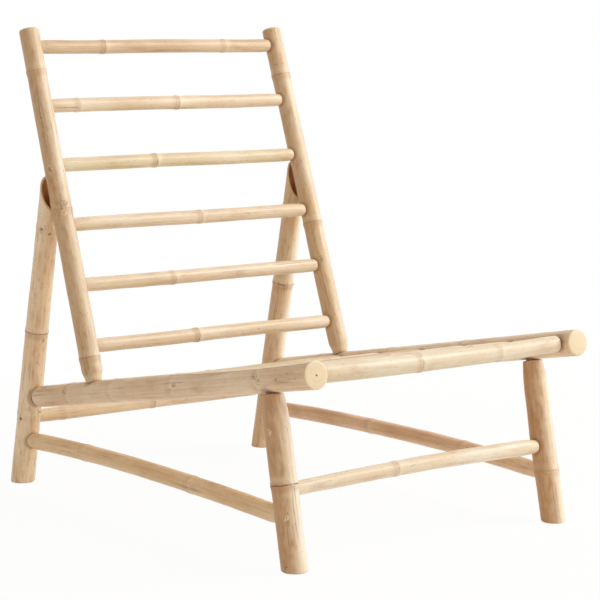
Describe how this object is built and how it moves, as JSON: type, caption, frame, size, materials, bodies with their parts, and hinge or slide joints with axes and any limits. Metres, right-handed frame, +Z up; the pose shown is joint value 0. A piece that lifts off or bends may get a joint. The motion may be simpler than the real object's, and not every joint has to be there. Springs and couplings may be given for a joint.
{
  "type": "bamboo lounge chair frame",
  "caption": "Low reclined lounge chair frame of round bamboo poles: ladder back propped by slanting rear legs, pole slats between rising side rails, whittled tenon joints.",
  "frame": {"origin": "on the floor, under the middle of the box round the whole chair", "axes": "+Z up, -Y the way the sitter faces, +Y to the back, +X to the right as seen from the front"},
  "size_m": [0.5622, 0.8642, 0.788],
  "materials": {
    "stile_bamboo": "satin",
    "leg_bamboo": "satin",
    "rail_bamboo": "satin",
    "rung_bamboo": "satin",
    "stretcher_bamboo": "satin",
    "screw_steel": "satin"
  },
  "bodies": {
    "root": {"left_stile": "stile_bamboo", "left_rear_leg": "leg_bamboo", "left_front_leg": "leg_bamboo", "left_side_rail": "rail_bamboo", "left_side_stretcher": "stretcher_bamboo", "right_stile": "stile_bamboo", "right_rear_leg": "leg_bamboo", "right_front_leg": "leg_bamboo", "right_side_rail": "rail_bamboo", "right_side_stretcher": "stretcher_bamboo", "back_rung_1": "rung_bamboo", "back_rung_2": "rung_bamboo", "back_rung_3": "rung_bamboo", "back_rung_4": "rung_bamboo", "back_rung_5": "rung_bamboo", "back_rung_6": "rung_bamboo", "seat_slat_1": "rung_bamboo", "seat_slat_2": "rung_bamboo", "seat_slat_3": "rung_bamboo", "seat_slat_4": "rung_bamboo", "seat_front_bar": "rung_bamboo", "seat_rear_bar": "rung_bamboo", "front_stretcher": "stretcher_bamboo", "rear_stretcher": "stretcher_bamboo", "back_rung_1_left_screw": "screw_steel", "back_rung_1_right_screw": "screw_steel", "back_rung_2_left_screw": "screw_steel", "back_rung_2_right_screw": "screw_steel", "back_rung_3_left_screw": "screw_steel", "back_rung_3_right_screw": "screw_steel", "back_rung_4_left_screw": "screw_steel", "back_rung_4_right_screw": "screw_steel", "back_rung_5_left_screw": "screw_steel", "back_rung_5_right_screw": "screw_steel", "back_rung_6_left_screw": "screw_steel", "back_rung_6_right_screw": "screw_steel", "seat_slat_1_left_screw": "screw_steel", "seat_slat_1_right_screw": "screw_steel", "seat_slat_2_left_screw": "screw_steel", "seat_slat_2_right_screw": "screw_steel", "seat_slat_3_left_screw": "screw_steel", "seat_slat_3_right_screw": "screw_steel", "seat_slat_4_left_screw": "screw_steel", "seat_slat_4_right_screw": "screw_steel", "seat_front_bar_left_screw": "screw_steel", "seat_front_bar_right_screw": "screw_steel", "front_stretcher_left_screw": "screw_steel", "front_stretcher_right_screw": "screw_steel", "rear_stretcher_left_screw": "screw_steel", "rear_stretcher_right_screw": "screw_steel", "left_side_stretcher_rear_screw": "screw_steel", "left_side_stretcher_front_screw": "screw_steel", "left_side_rail_rear_screw": "screw_steel", "left_rear_leg_top_screw": "screw_steel", "right_side_stretcher_rear_screw": "screw_steel", "right_side_stretcher_front_screw": "screw_steel", "right_side_rail_rear_screw": "screw_steel", "right_rear_leg_top_screw": "screw_steel"}
  },
  "joints": []
}
